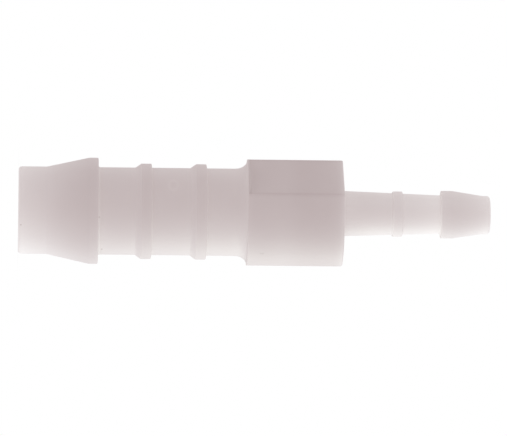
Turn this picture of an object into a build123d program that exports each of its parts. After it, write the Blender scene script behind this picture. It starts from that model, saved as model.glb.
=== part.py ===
from build123d import *
import os

# Hose barb reducer, moulded in one piece from natural translucent plastic.
# It joins a hose of 13 mm bore to a hose of 6 mm bore, with one straight passage through both.
# All lengths are in millimetres. The origin is the centre of the large end's face,
# and +Z runs along the passage to the small end, so the piece stands on its large end.

# Large barb: a pilot, a cone up to the crest, and a square step down to the neck
large_pilot_diameter = 13.0
large_pilot_length = 4.2
large_cone_length = 6.33
large_crest_length = 1.32
large_crest_height = 1.4

# Large neck, with sealing ribs that each have a short ramp, a flat land and a square back
large_neck_diameter = 13.0
crest_to_first_rib = 5.53
rib_count = 2
rib_pitch = 8.16
rib_ramp_length = 0.85
rib_land_length = 1.53
rib_height = 0.6
last_rib_to_collar = 6.08

# Collar, standing out from the large neck, with a pair of spanner flats above a thin lip
collar_height = 1.4
collar_length = 14.25
flat_depth = 1.3
lip_length = 0.25

# Small neck, tapered from the collar to the barb, with one square rib
small_root_diameter = 6.75
small_neck_diameter = 5.7
collar_to_small_rib = 7.46
small_rib_length = 1.46
small_rib_height = 0.27
small_rib_to_crest = 5.77

# Small barb: the same form as the large one, with no pilot wider than its neck
small_crest_length = 1.66
small_crest_height = 0.69
small_cone_length = 4.49
small_pilot_diameter = 5.7
small_pilot_length = 1.16

# Passage: wide from the large end, narrow from the small end, a conical throat between them
large_bore_diameter = 10.0
small_bore_diameter = 4.0
throat_length = 3.0
throat_to_collar_end = 5.2

# Sweep from the large neck up to the collar: a quarter of an ellipse, longer than it is high
root_sweep_length = 1.8
root_sweep_height = 1.3

# Rounded corners and chamfers, as large as they are where there is room for them
crest_root_round = 0.3
collar_edge_round = 0.2
tip_edge_round = 0.45
mouth_chamfer = 0.2
small_rib_chamfer = 0.15

# Most of a step's height, or of a wall's thickness, that a corner may take up
step_share = 0.93
tip_share = 0.55
mouth_share = 0.3

# Heights along the axis, worked out from the lengths above
large_crest_start = large_pilot_length + large_cone_length
large_crest_end = large_crest_start + large_crest_length
rib_length = rib_ramp_length + rib_land_length
rib_starts = [large_crest_end + crest_to_first_rib + rib_pitch * number for number in range(rib_count)]
collar_start = rib_starts[-1] + rib_length + last_rib_to_collar
flats_start = collar_start + lip_length
collar_end = collar_start + collar_length
throat_end = collar_end - throat_to_collar_end
throat_start = throat_end - throat_length
small_rib_start = collar_end + collar_to_small_rib
small_rib_end = small_rib_start + small_rib_length
small_crest_start = small_rib_end + small_rib_to_crest
small_crest_end = small_crest_start + small_crest_length
small_cone_end = small_crest_end + small_cone_length
total_length = small_cone_end + small_pilot_length

# Radii of the outside and of the passage
large_pilot_radius = large_pilot_diameter / 2
large_neck_radius = large_neck_diameter / 2
large_crest_radius = large_neck_radius + large_crest_height
rib_radius = large_neck_radius + rib_height
collar_radius = large_neck_radius + collar_height
small_root_radius = small_root_diameter / 2
small_neck_radius = small_neck_diameter / 2
small_crest_radius = small_neck_radius + small_crest_height
small_pilot_radius = small_pilot_diameter / 2
large_bore_radius = large_bore_diameter / 2
small_bore_radius = small_bore_diameter / 2

# The small neck narrows evenly, and its rib stands out from it by its height
small_neck_taper = (small_root_radius - small_neck_radius) / (small_crest_start - collar_end)
small_rib_radius = small_root_radius - small_neck_taper * collar_to_small_rib + small_rib_height

# Corners, limited by the step or the wall that they lie in
root_sweep_rise = min(root_sweep_height, step_share * collar_height)
root_sweep_start = collar_start - root_sweep_length
crest_root_fillet = min(crest_root_round, step_share * large_crest_height)
large_tip_wall = large_pilot_radius - large_bore_radius
small_tip_wall = small_pilot_radius - small_bore_radius
small_rib_corner = min(small_rib_chamfer, step_share * small_rib_height)

# How near an edge has to lie to a height and a radius to be the one that is meant
near = 0.001


def ring(height, radius):
    """Edges of the body that lie on the circle of one radius at one height."""
    circles = reducer_body.edges().filter_by(GeomType.CIRCLE)
    level = circles.filter_by(lambda edge: abs(edge.arc_center.Z - height) < near)
    return level.filter_by(lambda edge: abs(edge.radius - radius) < near)


with BuildPart() as reducer_body:
    # Large stem: the barb, the plain neck behind it, and the wide sweep up to the collar
    with BuildSketch(Plane.XZ) as large_stem_section:
        with BuildLine():
            Polyline(
                (large_neck_radius + root_sweep_rise, collar_start),
                (0, collar_start),
                (0, 0),
                (large_pilot_radius, 0),
                (large_pilot_radius, large_pilot_length),
                (large_crest_radius, large_crest_start),
                (large_crest_radius, large_crest_end),
                (large_neck_radius, large_crest_end),
                (large_neck_radius, root_sweep_start),
            )
            EllipticalCenterArc(
                (large_neck_radius + root_sweep_rise, root_sweep_start),
                x_radius=root_sweep_rise,
                y_radius=root_sweep_length,
                start_angle=90,
                arc_size=90,
            )
        make_face()
    revolve(axis=Axis.Z)

    # Sealing ribs: the ramp lets the hose slide on, and the square back holds it
    for rib_start in rib_starts:
        with BuildSketch(Plane.XZ) as rib_section:
            with BuildLine():
                Polyline(
                    (0, rib_start),
                    (large_neck_radius, rib_start),
                    (rib_radius, rib_start + rib_ramp_length),
                    (rib_radius, rib_start + rib_length),
                    (0, rib_start + rib_length),
                    close=True,
                )
            make_face()
        revolve(axis=Axis.Z)

    # Collar, round at first
    with BuildSketch(Plane.XY.offset(collar_start)) as collar_section:
        Circle(collar_radius)
    extrude(amount=collar_length)

    # Small stem: the tapered neck and the barb at its end
    with BuildSketch(Plane.XZ) as small_stem_section:
        with BuildLine():
            Polyline(
                (0, collar_end),
                (small_root_radius, collar_end),
                (small_neck_radius, small_crest_start),
                (small_crest_radius, small_crest_start),
                (small_crest_radius, small_crest_end),
                (small_pilot_radius, small_cone_end),
                (small_pilot_radius, total_length),
                (0, total_length),
                close=True,
            )
        make_face()
    revolve(axis=Axis.Z)

    # Small rib: a plain ring with its outer corner taken off on the side of the barb
    with BuildSketch(Plane.XY.offset(small_rib_start)) as small_rib_section:
        Circle(small_rib_radius)
    extrude(amount=small_rib_length)
    chamfer(ring(small_rib_end, small_rib_radius), length=small_rib_corner)

    # Root behind the large crest, slightly rounded
    fillet(ring(large_crest_end, large_neck_radius), radius=crest_root_fillet)

    # Spanner flats: they stop at the lip, so the root sweep stays whole below them
    with BuildSketch(Plane.XY.offset(flats_start)) as flats_section:
        Circle(collar_radius)
        Rectangle(2 * collar_radius, 2 * (collar_radius - flat_depth), mode=Mode.SUBTRACT)
    extrude(amount=collar_end - flats_start, mode=Mode.SUBTRACT)

    # Collar's outer edge at the small hose's side, round and along the flats
    small_root = ring(collar_end, small_root_radius)
    collar_edges = reducer_body.edges().filter_by_position(Axis.Z, collar_end - near, collar_end + near)
    fillet([edge for edge in collar_edges if edge not in small_root], radius=collar_edge_round)

    # Passage from end to end
    with BuildSketch(Plane.XZ) as passage_section:
        with BuildLine():
            Polyline(
                (0, 0),
                (large_bore_radius, 0),
                (large_bore_radius, throat_start),
                (small_bore_radius, throat_end),
                (small_bore_radius, total_length),
                (0, total_length),
                close=True,
            )
        make_face()
    revolve(axis=Axis.Z, mode=Mode.SUBTRACT)

    # Tips: rounded outside and chamfered at the mouths of the passage
    fillet(ring(0, large_pilot_radius), radius=min(tip_edge_round, tip_share * large_tip_wall))
    fillet(ring(total_length, small_pilot_radius), radius=min(tip_edge_round, tip_share * small_tip_wall))
    chamfer(ring(0, large_bore_radius), length=min(mouth_chamfer, mouth_share * large_tip_wall))
    chamfer(ring(total_length, small_bore_radius), length=min(mouth_chamfer, mouth_share * small_tip_wall))

reducer_body.part.label = "reducer_body"

os.makedirs("parts", exist_ok=True)
export_step(reducer_body.part, "parts/reducer_body.step")
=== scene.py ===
"""Hose barb reducer: its moulded skin, its milky plastic and a plain studio round it.

The part stands on its large end, with +Z along the passage to the small end.
Lengths are worked out in millimetres and scaled to metres as they go into a mesh.
"""
import math

import bpy
import numpy as np
from mathutils import Matrix, Vector


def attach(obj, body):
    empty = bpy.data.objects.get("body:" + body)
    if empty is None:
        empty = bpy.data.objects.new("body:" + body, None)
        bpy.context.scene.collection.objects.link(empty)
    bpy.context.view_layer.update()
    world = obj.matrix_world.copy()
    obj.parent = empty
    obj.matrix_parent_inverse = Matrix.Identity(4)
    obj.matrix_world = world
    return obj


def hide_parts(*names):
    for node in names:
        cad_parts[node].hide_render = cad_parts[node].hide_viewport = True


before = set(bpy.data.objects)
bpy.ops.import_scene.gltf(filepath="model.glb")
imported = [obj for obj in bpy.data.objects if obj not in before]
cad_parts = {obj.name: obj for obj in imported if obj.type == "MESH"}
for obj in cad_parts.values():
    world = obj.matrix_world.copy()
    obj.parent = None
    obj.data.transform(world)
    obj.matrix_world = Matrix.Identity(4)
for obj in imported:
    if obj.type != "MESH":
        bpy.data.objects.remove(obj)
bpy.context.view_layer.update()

mm = 0.001

# Large barb, neck and ribs
large_pilot_radius = 6.5
large_pilot_length = 4.2
large_cone_length = 6.33
large_crest_length = 1.32
large_neck_radius = 6.5
crest_height = 1.4
crest_to_first_rib = 5.53
rib_count = 2
rib_pitch = 8.16
rib_ramp_length = 0.85
rib_land_length = 1.53
rib_height = 0.6
last_rib_to_collar = 6.08

# Collar with its two flats, each above a thin lip
collar_height = 1.4
collar_length = 14.25
flat_depth = 1.3
lip_length = 0.25
lip_draft = 0.05
lip_draft_rows = np.array([0.0, 0.04, 0.5, 0.96, 1.0, 1.4])
lip_draft_clearance = 1.5

# Small neck, rib and barb
small_root_radius = 3.375
small_neck_radius = 2.85
collar_to_small_rib = 7.46
small_rib_length = 1.46
small_rib_height = 0.27
small_rib_to_crest = 5.77
small_crest_length = 1.66
small_crest_height = 0.69
small_cone_length = 4.49
small_pilot_length = 1.16

# Sweep up to the collar: a quarter of an ellipse, longer than it is high
root_sweep_length = 1.8
root_sweep_height = 1.3

# Passage
large_bore_radius = 5.0
small_bore_radius = 2.0
throat_length = 3.0
throat_to_collar_end = 5.2
mouth_chamfer = 0.2

# Roundings of the corners: crisp is what a sharp corner of the mould leaves
crisp = 0.06
barb_edge_round = 0.15
cone_round = 0.8
crest_root_round = 0.3
rib_root_round = 0.12
lip_edge_round = 0.04
collar_edge_round = 0.2
small_rib_round = 0.12
tip_edge_round = 0.45
flat_edge_round = 0.04

# Heights, radii and half the angle that a flat spans, which follow from them
crest_radius = large_neck_radius + crest_height
crest_start = large_pilot_length + large_cone_length
crest_end = crest_start + large_crest_length
rib_radius = large_neck_radius + rib_height
rib_length = rib_ramp_length + rib_land_length
rib_starts = [crest_end + crest_to_first_rib + rib_pitch * number for number in range(rib_count)]
collar_start = rib_starts[-1] + rib_length + last_rib_to_collar
collar_end = collar_start + collar_length
collar_radius = large_neck_radius + collar_height
flats_start = collar_start + lip_length
flat_offset = collar_radius - flat_depth
flat_half_angle = math.acos(flat_offset / collar_radius)
small_rib_start = collar_end + collar_to_small_rib
small_rib_end = small_rib_start + small_rib_length
small_crest_start = small_rib_end + small_rib_to_crest
small_crest_end = small_crest_start + small_crest_length
small_crest_radius = small_neck_radius + small_crest_height
small_cone_end = small_crest_end + small_cone_length
total_length = small_cone_end + small_pilot_length
throat_end = collar_end - throat_to_collar_end
throat_start = throat_end - throat_length

# Ends and roots of steps, painted paler where light comes in and over the shade in the corners at the
# roots: height, side that it spreads to, share and fading length
tip_side = 1.0
base_side = -1.0
painted_light_places = [
    (0.0, tip_side, 0.45, 5.0),
    (crest_end, tip_side, 0.26, 0.75),
    (collar_start, base_side, 0.25, 1.0),
    (collar_end, base_side, 0.14, 1.6),
    (collar_end, tip_side, 0.25, 1.0),
    (small_rib_start + small_rib_round / 2, base_side, 0.22, 0.16),
    (small_rib_end, tip_side, 0.12, 0.35),
    (small_crest_start, base_side, 0.22, 4.2),
    (total_length, base_side, 0.20, 2.2),
]
for rib_start in rib_starts:
    painted_light_places += [
        (rib_start, base_side, 0.04, 0.8),
        (rib_start, tip_side, 0.09, 0.3),
        (rib_start + rib_ramp_length, base_side, 0.10, 0.55),
        (rib_start + rib_length, tip_side, 0.20, 0.36),
    ]

# Mark that the mould left on the neck: a faint ring about a shallow dimple
mark_height = 22.85
mark_angle = math.radians(-73.0)
mark_half_length = 0.8
mark_half_width = 1.0
mark_ring_place = 0.85
mark_ring_width = 0.22
mark_dimple_width = 0.4
mark_dimple_depth = 0.5
mark_relief = 0.05
# Share by which the mark's ridge is painted paler and its dimple painted darker, as light and shade on its
# relief
mark_painted_shading = 0.06

# Paleness painted into the plastic's colour for light that gets through it, painted shade on the flats and
# painted light beside the lip
base_share = 0.160
thin_wall = 1.5
thin_wall_share = 0.52
slender_radius = 4.0
slender_share = 0.50
# Painted shade on the flats, all over them and along their long edges
painted_flat_shade_share = 0.14
painted_flat_edge_shade = 0.11
painted_edge_shade_width = 0.3
painted_flat_shade_fade = 0.05
# Painted light on the flats beside the lip, over the shade in the corner at its foot
painted_lip_light_length = 0.4
painted_lip_light_share = 0.25
deep_colour = np.array([0.60, 0.524, 0.523])
pale_colour = np.array([1.0, 0.975, 0.963])
reach_spacing = 0.05
reach_blur = 0.6
reach_blur_span = 2.0

# Rows and columns of the skin
outside_spacing = 0.45
passage_spacing = 2.0
mark_spacing = 0.14
arc_spacing = 0.35
arc_turn = math.radians(30)
hold_distance = 0.02
column_count = 208
edge_columns = np.radians([-1.0, -0.45, -0.15, 0.15, 0.45, 1.0])
edge_clearance = math.radians(1.3)

# Distances within which two places count as one, or as close by, and room left about the passage's mouths
same_place = 0.001
close_by = 0.01
mouth_margin = 0.1

# Least cosine that the flats are worked out with, as none of them reaches that far round
least_facing = 0.2

# Photograph: how much one pixel spans on the object, where the camera stood and how far it sees
picture_width_px = 507
mm_per_pixel = 0.149
view_angle = math.radians(-36.2)
camera_distance = 830.0
camera_height = 2.0
aim_height = 35.02
aim_below_axis = 0.81
axis_tilt = math.radians(0.632)
sensor_width = 36.0
nearest_seen = 50.0
farthest_seen = 10000.0

# Surface of the plastic: faint clouds in it, a satin skin and patches with more or less gloss
cloud_size = 5.0
cloud_detail = 3.0
cloud_share = 0.10
satin_size = 0.7
satin_detail = 2.0
satin_depth = 0.012
gloss_patch_size = cloud_size / 3
gloss_patch_detail = 2.0
roughness = 0.42
roughness_spread = 0.10
refraction = 1.49

# Dark flecks in it: height, angle, radius, size and depth of colour
fleck_colour = (0.50, 0.43, 0.42)
fleck_edge = 0.12
flecks = [
    (0.40, math.radians(-16.5), 6.5, 0.06, 0.45),
    (11.98, math.radians(-28.0), 6.6, 0.07, 0.40),
    (12.42, math.radians(24.6), 6.5, 0.08, 0.60),
    (35.95, math.radians(13.9), 7.9, 0.10, 0.26),
    (36.25, math.radians(14.1), 7.9, 0.12, 0.30),
]

# Studio light, in linear red, green and blue: all round, from below in the picture and from about behind
all_round_light = (0.630, 0.558, 0.555)
light_below = (0.363, 0.429, 0.456)
light_behind = (1.08, 1.25, 1.26)

# Soft lamps: distances along the part, up and towards the camera, height aimed at, watts of each colour
lamp_diameter = 50.0
lamps = [
    ((-10.0, 40.0, 25.0), 2.0, (0.0006, 0.0009, 0.0011)),
    ((70.0, 40.0, 25.0), 60.0, (0.0022, 0.0028, 0.0029)),
    ((41.0, -45.0, 0.0), 41.0, (0.0033, 0.0040, 0.0034)),
]

# Floor, and the painted shadow where the part stands on it
floor_half_size = 1500.0
floor_shade = 0.75
shade_distance = 6.0
shade_samples = 8

# Directions in the picture: towards the camera, along the part to the right, and up
to_camera = np.array([math.cos(view_angle), math.sin(view_angle), 0.0])
along_part = np.array([0.0, 0.0, 1.0])
picture_up = np.cross(to_camera, along_part)


class Wire:
    """An output of a node. Arithmetic on wires adds Math nodes, and node() adds any other node."""

    def __init__(self, tree, socket=None):
        self.tree = tree
        self.socket = socket

    def node(self, kind, settings=None, sockets=None, output=0):
        """Adds a node: first its settings, then its sockets by name or number, each a value or wire."""
        new = self.tree.nodes.new(kind)
        for name, value in (settings or {}).items():
            setattr(new, name, value)
        for name, value in (sockets or {}).items():
            if isinstance(value, Wire):
                self.tree.links.new(value.socket, new.inputs[name])
            else:
                new.inputs[name].default_value = value
        return Wire(self.tree, new.outputs[output]) if len(new.outputs) else None

    def math(self, operation, *values):
        sockets = dict(enumerate(values))
        return self.node("ShaderNodeMath", {"operation": operation}, sockets)

    def at_least(self, lowest):
        return self.math("MAXIMUM", self, lowest)

    def at_most(self, highest):
        return self.math("MINIMUM", self, highest)

    def vector(self, operation, *values, output=0):
        sockets = dict(enumerate(values))
        return self.node("ShaderNodeVectorMath", {"operation": operation}, sockets, output)

    def mix(self, factor, first, second):
        """Colour between first and second."""
        sockets = {0: factor, 6: first, 7: second}
        return self.node("ShaderNodeMix", {"data_type": "RGBA"}, sockets, 2)

    def noise(self, size, detail):
        """Noise of about 0 to 1 over this place, with lumps of one size in mm."""
        sockets = {"Vector": self, "Scale": 1.0 / (size * mm), "Detail": detail}
        return self.node("ShaderNodeTexNoise", None, sockets, "Fac")

    def __add__(self, other):
        return self.math("ADD", self, other)

    def __radd__(self, other):
        return self.math("ADD", other, self)

    def __sub__(self, other):
        return self.math("SUBTRACT", self, other)

    def __rsub__(self, other):
        return self.math("SUBTRACT", other, self)

    def __mul__(self, other):
        return self.math("MULTIPLY", self, other)

    def __rmul__(self, other):
        return self.math("MULTIPLY", other, self)


def outline_corners():
    """Corners of the section, up the outside and back down the passage: radius, height and rounding."""
    corners = [
        (large_pilot_radius, 0.0, tip_edge_round),
        (large_pilot_radius, large_pilot_length, cone_round),
        (crest_radius, crest_start, cone_round),
        (crest_radius, crest_end, barb_edge_round),
        (large_neck_radius, crest_end, crest_root_round),
    ]
    for start in rib_starts:
        corners += [
            (large_neck_radius, start, rib_root_round),
            (rib_radius, start + rib_ramp_length, rib_root_round),
            (rib_radius, start + rib_length, barb_edge_round),
            (large_neck_radius, start + rib_length, rib_root_round),
        ]
    taper = (small_root_radius - small_neck_radius) / (small_crest_start - collar_end)
    before_rib = small_root_radius - taper * collar_to_small_rib
    after_rib = before_rib - taper * small_rib_length
    corners += [
        (large_neck_radius, collar_start, root_sweep_height),
        (collar_radius, collar_start, lip_edge_round),
        (collar_radius, collar_end, collar_edge_round),
        (small_root_radius, collar_end, crisp),
        (before_rib, small_rib_start, small_rib_round),
        (before_rib + small_rib_height, small_rib_start, small_rib_round),
        (before_rib + small_rib_height, small_rib_end, small_rib_round),
        (after_rib, small_rib_end, crisp),
        (small_neck_radius, small_crest_start, crest_root_round),
        (small_crest_radius, small_crest_start, crisp),
        (small_crest_radius, small_crest_end, cone_round),
        (small_neck_radius, small_cone_end, cone_round),
        (small_neck_radius, total_length, tip_edge_round),
        (small_bore_radius + mouth_chamfer, total_length, crisp),
        (small_bore_radius, total_length - mouth_chamfer, crisp),
        (small_bore_radius, throat_end, cone_round),
        (large_bore_radius, throat_start, cone_round),
        (large_bore_radius, mouth_chamfer, crisp),
        (large_bore_radius + mouth_chamfer, 0.0, crisp),
    ]
    return np.array(corners)


def rounded_outline(corners):
    """Closed outline with an arc at each corner and a point held just before and after each arc.

    An arc of radius r in a corner of inner angle w touches both sides r / tan(w / 2) from the corner,
    about a centre r / sin(w / 2) along the bisector. Its points turn evenly from one touch to the other,
    by steps of an angle or of a length, whichever gives more of them.
    """
    place = corners[:, :2]
    rounding = corners[:, 2]
    back = np.roll(place, 1, axis=0) - place
    ahead = np.roll(place, -1, axis=0) - place
    back /= np.linalg.norm(back, axis=1, keepdims=True)
    ahead /= np.linalg.norm(ahead, axis=1, keepdims=True)
    inner = np.arccos(np.clip((back * ahead).sum(axis=1), -1.0, 1.0))
    touch = rounding / np.tan(inner / 2)
    bisector = back + ahead
    bisector /= np.linalg.norm(bisector, axis=1, keepdims=True)
    centre = place + bisector * (rounding / np.sin(inner / 2))[:, None]
    turn = math.pi - inner
    steps = np.maximum(np.ceil(turn / arc_turn), np.ceil(rounding * turn / arc_spacing)).astype(int)
    which = np.repeat(np.arange(len(corners)), steps + 1)
    number = np.arange(len(which)) - np.repeat(np.cumsum(steps + 1) - (steps + 1), steps + 1)
    share = number / steps[which]
    first = (place + back * touch[:, None] - centre) / rounding[:, None]
    last = (place + ahead * touch[:, None] - centre) / rounding[:, None]
    sweep = turn[which]
    blend = np.sin((1 - share) * sweep)[:, None] * first[which]
    blend += np.sin(share * sweep)[:, None] * last[which]
    arcs = centre[which] + blend * (rounding[which] / np.sin(sweep))[:, None]
    before = place + back * (touch + hold_distance)[:, None]
    after = place + ahead * (touch + hold_distance)[:, None]
    # in order by corner: the point held before it, then its arc, then the point held after it
    corner = np.arange(len(corners))
    order = np.concatenate([corner - 0.1, which + share * 0.5, corner + 0.6])
    return np.concatenate([before, arcs, after])[np.argsort(order, kind="stable")]


def with_drawn_out_root(points):
    """Outline with the quarter circle below the collar drawn out into a quarter of an ellipse.

    Each distance below the collar grows there by the sweep's length over its height.
    """
    below = collar_start - points[:, 1]
    in_root = (below > 0) & (below < root_sweep_height + 2 * hold_distance)
    in_root &= points[:, 0] > large_bore_radius + close_by
    drawn = np.where(in_root, below * root_sweep_length / root_sweep_height, below)
    return np.stack([points[:, 0], collar_start - drawn], axis=1)


def divided(points):
    """Closed outline with its straight runs cut into equal steps, finest at the mark, longest inside.

    A run gets as few steps as keep each of them within the spacing there.
    """
    following = np.roll(points, -1, axis=0)
    run = following - points
    length = np.linalg.norm(run, axis=1)
    inside = (points[:, 0] < large_bore_radius + close_by) & (following[:, 1] < points[:, 1])
    spacing = np.where(inside, passage_spacing, outside_spacing)
    near_mark = (points[:, 1] < mark_height) & (following[:, 1] > mark_height)
    spacing = np.where(near_mark, mark_spacing, spacing)
    steps = np.maximum(np.ceil(length / spacing), 1).astype(int)
    which = np.repeat(np.arange(len(points)), steps)
    number = np.arange(len(which)) - np.repeat(np.cumsum(steps) - steps, steps)
    share = number / steps[which]
    return points[which] + run[which] * share[:, None]


def with_lip_rows(points):
    """Outline with the rows of the wall between lip and flats in place of those too near it."""
    heights = flats_start + lip_draft * lip_draft_rows
    rows = np.stack([np.full(len(heights), collar_radius), heights], axis=1)
    on_side = (np.abs(points[:, 0] - collar_radius) < same_place) & (points[:, 1] > collar_start)
    too_near = np.abs(points[:, 1] - flats_start) < lip_draft * lip_draft_clearance
    kept = ~(on_side & too_near)
    on_side = on_side[kept]
    points = points[kept]
    after = np.flatnonzero(on_side & (points[:, 1] < flats_start))[-1] + 1
    return np.insert(points, after, rows, axis=0)


def column_angles():
    """Angles round the axis, evenly spaced, apart from closer ones at the long edges of the flats."""
    even = np.arange(column_count) * 2 * math.pi / column_count
    middles = np.array([0.5, 1.5]) * math.pi
    edges = (middles[:, None] + flat_half_angle * np.array([-1.0, 1.0])).ravel()
    extra = (edges[:, None] + edge_columns).ravel()
    clear = np.abs(even[:, None] - edges).min(axis=1) > edge_clearance
    return np.sort(np.concatenate([even[clear], extra]))


def flat_inside(angle):
    """Distance round the collar from the nearer long edge of a flat, in mm and positive on the flat.

    It is the collar's radius times half the angle of the flat less the angle from its middle.
    """
    from_middle = np.arccos(np.clip(np.abs(np.sin(angle)), 0.0, 1.0))
    return (flat_half_angle - from_middle) * collar_radius


def flat_cut(angle):
    """Depth that a flat takes off the collar's radius at each angle, with its long edges eased.

    A flat at distance a from the axis lies at a / cos(angle from its middle). The cut is the larger
    of radius minus that and nothing, and the corner between the two is softened by a hyperbola.
    """
    facing = np.maximum(np.abs(np.sin(angle)), least_facing)
    depth = collar_radius - flat_offset / facing
    return (depth + np.sqrt(depth ** 2 + flat_edge_round ** 2)) / 2


def flat_share(radius, height):
    """How much of the flats' cut a point of the outline takes.

    None below the lip's wall, all on the collar's side above it, and on the collar's end face less and
    less towards the small neck, so that the rows there spread evenly between the neck and the edge.
    """
    up_the_wall = np.clip((height - flats_start) / lip_draft, 0.0, 1.0)
    face_edge = collar_radius - collar_edge_round
    on_face = np.clip((radius - small_root_radius) / (face_edge - small_root_radius), 0.0, 1.0)
    within = (height > flats_start) & (height < collar_end + crisp) & (radius > small_root_radius)
    return np.where(within, up_the_wall * on_face, 0.0)


def mould_mark(height, angle):
    """Form of the ring that the mould left: a round ridge, 1 at its top, about a shallow dimple.

    Both fall off as a bell curve: the ridge with the distance from its own circle, the dimple with the
    distance from the middle.
    """
    along = (height - mark_height) / mark_half_length
    around = (angle - mark_angle + math.pi) % (2 * math.pi) - math.pi
    across = around * large_neck_radius / mark_half_width
    distance = np.sqrt(along ** 2 + across ** 2)
    ridge = np.exp(-((distance - mark_ring_place) / mark_ring_width) ** 2)
    dimple = np.exp(-(distance / mark_dimple_width) ** 2)
    return ridge - mark_dimple_depth * dimple


def moulded_skin():
    """The whole skin: the rounded outline carried round the axis, less the flats, plus the mould's mark.

    A point of the outline at radius r and height h goes to (r cos t, r sin t, h) for each angle t, with
    r less by its share of the flats' cut. Rows and columns both close, so the skin has no open edge.
    """
    outline = with_lip_rows(divided(with_drawn_out_root(rounded_outline(outline_corners()))))
    radius = outline[:, 0]
    height = outline[:, 1]
    angle = column_angles()
    on_neck = (height > crest_end) & (height < collar_start)
    on_neck &= np.abs(radius - large_neck_radius) < close_by
    reach = radius[:, None] - flat_share(radius, height)[:, None] * flat_cut(angle)
    mark = on_neck[:, None] * mould_mark(height[:, None], angle)
    reach = reach + mark_relief * mark
    rows, columns = reach.shape
    points = np.empty((rows, columns, 3))
    points[..., 0] = reach * np.cos(angle)
    points[..., 1] = reach * np.sin(angle)
    points[..., 2] = height[:, None]
    row, column = np.meshgrid(np.arange(rows), np.arange(columns), indexing="ij")
    next_row = (row + 1) % rows
    next_column = (column + 1) % columns
    corners = [row * columns + column, row * columns + next_column]
    corners += [next_row * columns + next_column, next_row * columns + column]
    faces = np.stack(corners, axis=-1).reshape(-1, 4)
    # The colour's paleness at each point: painted light through the plastic, painted shade and light on
    # the flats, and painted light and shade on the mark
    painted_flats_light = painted_light_by_lip(height, angle) - painted_flat_shade(angle)
    painted_paleness = painted_light_reach(height)[:, None] + on_flats(radius, height)[:, None] * painted_flats_light
    painted_paleness += mark_painted_shading * mark
    return points.reshape(-1, 3), faces, painted_paleness.ravel()


def on_flats(radius, height):
    """One on the rows of the collar's side, rising to it over the lip's rim, and nothing elsewhere."""
    on_side = (radius > collar_radius - collar_edge_round) & (height < collar_end - crisp)
    return np.clip((height - collar_start) / lip_edge_round, 0.0, 1.0) * on_side


def painted_flat_shade(angle):
    """Painted shade on the flats: evenly all over them, and darker along their long edges.

    The painted shade there falls off as a bell curve with the distance from the edge, to both sides.
    """
    inside = flat_inside(angle)
    edge = np.exp(-(inside / painted_edge_shade_width) ** 2)
    return painted_flat_shade_share * np.clip(inside / painted_flat_shade_fade, 0.0, 1.0) + painted_flat_edge_shade * edge


def painted_light_by_lip(height, angle):
    """Painted light on the flats beside the lip, over the shade in the corner at its foot: more near it,
    and where it stands higher.

    It falls off exponentially with the distance from the lip, and goes with the depth of the cut.
    """
    above = (height - flats_start)[:, None]
    near = painted_lip_light_share * np.exp(-np.maximum(above, 0.0) / painted_lip_light_length) * (above > 0)
    return near * flat_cut(angle) / flat_depth


def painted_light_at_ends(height):
    """Painted light at the ends and the roots of steps, over the shade in the corners there: it falls off
    exponentially with the distance, on one side of each.
    """
    place, side, share, fade = np.array(painted_light_places).T
    distance = (height[:, None] - place) * side
    light = share * np.exp(-np.abs(distance) / fade)
    return (light * (distance > -same_place)).sum(axis=1)


def painted_light_reach(height):
    """Paleness painted into the colour at each height, for how far light gets through the plastic.

    It is a sum of parts that each fall off exponentially: with the wall's thickness, with the outer
    radius, and with the distance from the places where light comes in. The first two are blurred along
    the part by a bell curve, because light spreads in the plastic.
    """
    outline = rounded_outline(outline_corners())
    outer = outline[~in_passage(outline)]
    outer = outer[np.argsort(outer[:, 1], kind="stable")]
    even = np.linspace(0.0, total_length, round(total_length / reach_spacing) + 1)
    outer_radius = np.interp(even, outer[:, 1], outer[:, 0])
    bore_radius = np.interp(even, [throat_start, throat_end], [large_bore_radius, small_bore_radius])
    part = thin_wall_share * np.exp(-(outer_radius - bore_radius) / thin_wall)
    part += slender_share * np.exp(-outer_radius / slender_radius)
    reach = round(reach_blur_span / reach_spacing)
    away = np.arange(-reach, reach + 1) * reach_spacing
    bell = np.exp(-0.5 * (away / reach_blur) ** 2)
    part = np.convolve(np.pad(part, reach, mode="edge"), bell / bell.sum(), mode="valid")
    return base_share + np.interp(height, even, part) + painted_light_at_ends(height)


def in_passage(points):
    """True for the points of the outline on the passage's wall and on the chamfers at its mouths."""
    large_mouth_radius = large_bore_radius + mouth_chamfer + mouth_margin
    small_mouth_radius = small_bore_radius + mouth_chamfer + mouth_margin
    in_large_bore = (points[:, 0] < large_mouth_radius) & (points[:, 1] < throat_end)
    return in_large_bore | (points[:, 0] < small_mouth_radius)


def mesh_piece(name, points, faces):
    """Puts a piece with these points, in mm, and these faces into the scene."""
    mesh = bpy.data.meshes.new(name)
    mesh.vertices.add(len(points))
    mesh.vertices.foreach_set("co", (points * mm).astype(np.float32).ravel())
    mesh.loops.add(faces.size)
    mesh.loops.foreach_set("vertex_index", faces.astype(np.int32).ravel())
    mesh.polygons.add(len(faces))
    mesh.polygons.foreach_set("loop_start", np.arange(len(faces), dtype=np.int32) * faces.shape[1])
    mesh.update(calc_edges=True)
    mesh.validate()
    mesh.shade_smooth()
    piece = bpy.data.objects.new(name, mesh)
    bpy.context.scene.collection.objects.link(piece)
    return piece


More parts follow.
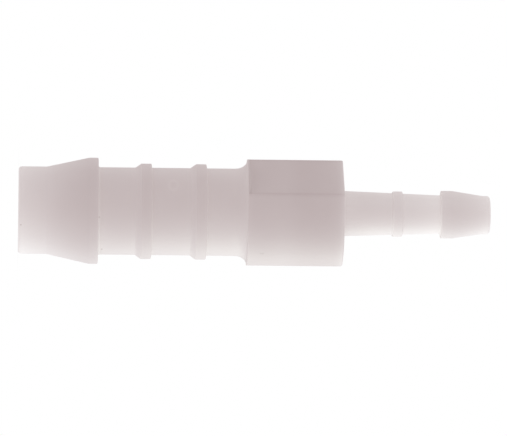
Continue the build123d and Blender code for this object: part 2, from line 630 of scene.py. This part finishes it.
def natural_plastic():
    """Milky plastic, with painted light and shade in its colour from the value kept at each point, faintly
    clouded, with a few dark flecks.

    A fleck is a ball about its place: its share goes from one inside its size to nothing at its edge.
    """
    material = bpy.data.materials.new("milky_natural_plastic")
    material.use_nodes = True
    tree = material.node_tree
    tree.nodes.clear()
    wire = Wire(tree)
    place = wire.node("ShaderNodeTexCoord", None, None, "Object")
    reach = wire.node("ShaderNodeAttribute", {"attribute_name": "painted_light_reach"}, None, "Fac")
    clouds = place.noise(cloud_size, cloud_detail)
    satin = place.noise(satin_size, satin_detail)
    gloss = place.noise(gloss_patch_size, gloss_patch_detail)
    colour = wire.mix(reach + cloud_share * (clouds - 0.5), (*deep_colour, 1.0), (*pale_colour, 1.0))
    for height, angle, radius, size, depth in flecks:
        centre = (radius * math.cos(angle) * mm, radius * math.sin(angle) * mm, height * mm)
        distance = place.vector("DISTANCE", place, centre, output="Value")
        inside = ((size + fleck_edge) * mm - distance) * (1.0 / (fleck_edge * mm))
        share = inside.at_least(0.0).at_most(1.0)
        colour = wire.mix(depth * share, colour, (*fleck_colour, 1.0))
    sockets = {"Strength": 1.0, "Distance": satin_depth * mm, "Height": satin}
    relief = wire.node("ShaderNodeBump", None, sockets)
    sockets = {"Base Color": colour, "Roughness": roughness + roughness_spread * (gloss - 0.5)}
    sockets.update({"IOR": refraction, "Normal": relief})
    shader = wire.node("ShaderNodeBsdfPrincipled", None, sockets)
    wire.node("ShaderNodeOutputMaterial", None, {"Surface": shader})
    return material


def moulded_body():
    """The one piece of the part: its skin, with the painted light and shade for its colour kept at each
    point.
    """
    points, faces, painted_paleness = moulded_skin()
    piece = mesh_piece("moulded_body", points, faces)
    reach = piece.data.attributes.new("painted_light_reach", "FLOAT", "POINT")
    reach.data.foreach_set("value", painted_paleness.astype(np.float32))
    piece.data.materials.append(natural_plastic())
    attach(piece, "root")
    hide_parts("reducer_body")


def studio_floor():
    """Pale floor that only the camera sees, white, with a painted shadow where the part stands on it."""
    corners = np.array([[-1.0, -1.0, 0.0], [1.0, -1.0, 0.0], [1.0, 1.0, 0.0], [-1.0, 1.0, 0.0]])
    floor = mesh_piece("studio_floor", corners * floor_half_size, np.array([[0, 1, 2, 3]]))
    material = bpy.data.materials.new("pale_floor")
    material.use_nodes = True
    tree = material.node_tree
    tree.nodes.clear()
    wire = Wire(tree)
    settings = {"samples": shade_samples}
    open_sky = wire.node("ShaderNodeAmbientOcclusion", settings, {"Distance": shade_distance * mm}, "AO")
    shade = wire.mix(open_sky, (floor_shade, floor_shade, floor_shade, 1.0), (1.0, 1.0, 1.0, 1.0))
    glow = wire.node("ShaderNodeEmission", None, {"Color": shade})
    wire.node("ShaderNodeOutputMaterial", None, {"Surface": glow})
    floor.data.materials.append(material)
    floor.visible_diffuse = False
    floor.visible_glossy = False
    floor.visible_transmission = False
    floor.visible_shadow = False


def studio_light():
    """Light from all round, as in a white tent, more from below in the picture and from behind the part.

    Where s is the cosine of the angle from a direction, the light from below goes with s, and the light
    from behind with s (1 - s), which is strongest 60 degrees off it: it lights the part's sides.
    """
    world = bpy.data.worlds.new("white_tent")
    bpy.context.scene.world = world
    world.use_nodes = True
    tree = world.node_tree
    tree.nodes.clear()
    wire = Wire(tree)
    direction = wire.node("ShaderNodeTexCoord", None, None, "Generated")
    seen = wire.node("ShaderNodeLightPath", None, None, "Is Camera Ray")
    below = direction.vector("DOT_PRODUCT", direction, tuple(-picture_up), output="Value").at_least(0.0)
    behind = direction.vector("DOT_PRODUCT", direction, tuple(-to_camera), output="Value").at_least(0.0)
    light = all_round_light
    for share, colour in ((below, light_below), (behind * (1.0 - behind), light_behind)):
        term = wire.node("ShaderNodeVectorMath", {"operation": "SCALE"}, {0: colour, "Scale": share})
        light = wire.vector("ADD", light, term)
    shown = wire.mix(seen, light, (1.0, 1.0, 1.0, 1.0))
    tent = wire.node("ShaderNodeBackground", None, {"Color": shown})
    wire.node("ShaderNodeOutputWorld", None, {"Surface": tent})


def lamp(place, aimed_at, watts):
    """Round soft lamp that shines on the part without being seen itself."""
    data = bpy.data.lights.new("soft_lamp", "AREA")
    data.shape = "DISK"
    data.size = lamp_diameter * mm
    data.energy = max(watts)
    data.color = [watt / max(watts) for watt in watts]
    piece = bpy.data.objects.new("soft_lamp", data)
    along, up, near = place
    stand = Vector((along_part * along + picture_up * up + to_camera * near) * mm)
    turn = (Vector(along_part * aimed_at * mm) - stand).to_track_quat("-Z", "Y")
    piece.matrix_world = Matrix.Translation(stand) @ turn.to_matrix().to_4x4()
    piece.visible_camera = False
    bpy.context.scene.collection.objects.link(piece)


def photograph_camera():
    """Camera beside the part's large end, turned so that +Z runs to the right of the picture."""
    place = (to_camera * camera_distance + along_part * camera_height) * mm
    aim = (along_part * aim_height - picture_up * aim_below_axis) * mm
    forward = (aim - place) / np.linalg.norm(aim - place)
    right = along_part - forward * forward[2]
    right /= np.linalg.norm(right)
    up = np.cross(right, forward)
    tilted_right = right * math.cos(axis_tilt) + up * math.sin(axis_tilt)
    tilted_up = up * math.cos(axis_tilt) - right * math.sin(axis_tilt)
    turned = np.stack([tilted_right, tilted_up, -forward], axis=1)
    data = bpy.data.cameras.new("camera")
    data.sensor_fit = "HORIZONTAL"
    data.sensor_width = sensor_width
    distance = np.linalg.norm(aim - place) / mm
    data.lens = sensor_width * distance / (picture_width_px * mm_per_pixel)
    data.clip_start = nearest_seen * mm
    data.clip_end = farthest_seen * mm
    camera = bpy.data.objects.new("camera", data)
    camera.matrix_world = Matrix.Translation(Vector(place)) @ Matrix(turned.tolist()).to_4x4()
    bpy.context.scene.collection.objects.link(camera)
    bpy.context.scene.camera = camera


photograph_camera()
moulded_body()
studio_floor()
studio_light()
for place, aimed_at, watts in lamps:
    lamp(place, aimed_at, watts)
bpy.context.scene.view_settings.view_transform = "Standard"
